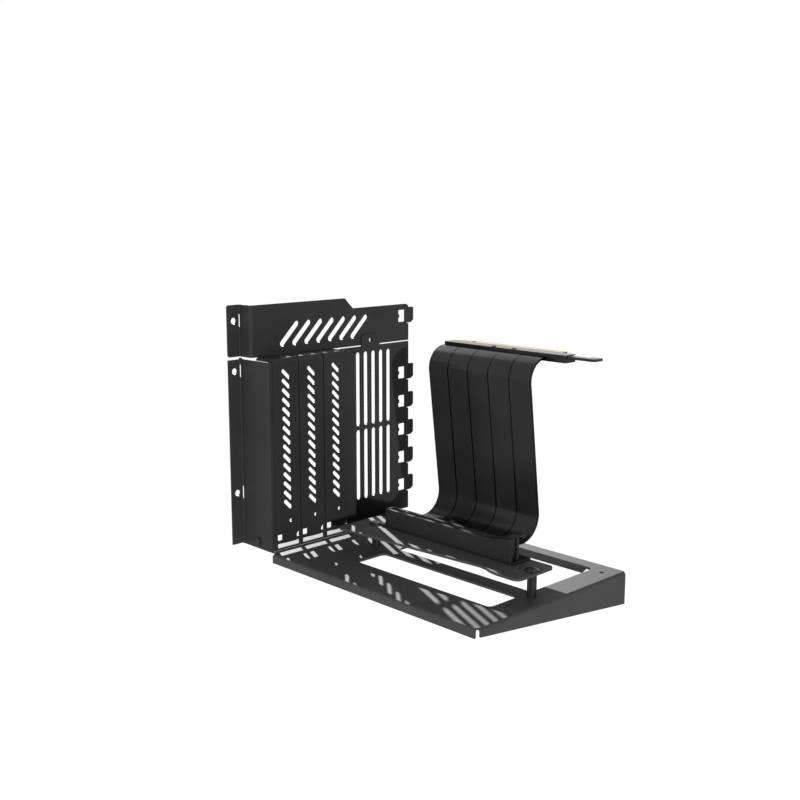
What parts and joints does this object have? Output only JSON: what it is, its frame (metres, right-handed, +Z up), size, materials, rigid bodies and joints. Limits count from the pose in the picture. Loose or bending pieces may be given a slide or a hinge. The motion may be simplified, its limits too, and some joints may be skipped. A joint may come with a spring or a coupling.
{
  "type": "vertical graphics card mount",
  "caption": "Vertical graphics card mount: a folded steel rear panel with vented slot covers, a tray, and a card slot on a raised plate whose ribbon cable leads to an edge plug.",
  "frame": {"origin": "midway between the slot panel's two flange screw holes, on the flange's rear face", "axes": "+X out of the rear panel along the card's length, +Y from the flange towards the plug, +Z up"},
  "size_m": [0.2051, 0.152, 0.1751],
  "materials": {
    "panel_black": "satin black powder coat",
    "cover_black": "satin black powder coat",
    "screw_black": "black coated steel",
    "post_metal": "black coated steel",
    "board_black": "black printed board",
    "housing_black": "moulded black",
    "latch_black": "moulded black",
    "contact_gold": "gold plated",
    "ribbon_black": "smooth black film over a shielded flat cable"
  },
  "bodies": {
    "mount": {"upper_panel": "panel_black", "slot_panel": "panel_black", "slot_cover_1": "cover_black", "slot_cover_2": "cover_black", "slot_cover_3": "cover_black", "base_tray": "panel_black", "tray_screws": "screw_black", "riser_plate": "panel_black", "riser_post_left": "post_metal", "riser_post_right": "post_metal", "plate_screws": "screw_black", "post_screws": "screw_black", "slot_board": "board_black", "slot_housing": "housing_black", "slot_contacts": "contact_gold", "ribbon_strip_1": "ribbon_black", "ribbon_strip_2": "ribbon_black", "ribbon_strip_3": "ribbon_black", "ribbon_strip_4": "ribbon_black", "ribbon_strip_5": "ribbon_black", "plug_board": "board_black", "plug_housing": "housing_black", "plug_contacts": "contact_gold"},
    "latch": {"slot_latch": "latch_black"}
  },
  "joints": [
    {"name": "latch_hinge", "type": "hinge", "parent": "mount", "child": "latch", "pos_m": [0.1744, 0.0647, -0.0548], "axis": [0, 1, 0], "range_deg": [0, 30]}
  ]
}
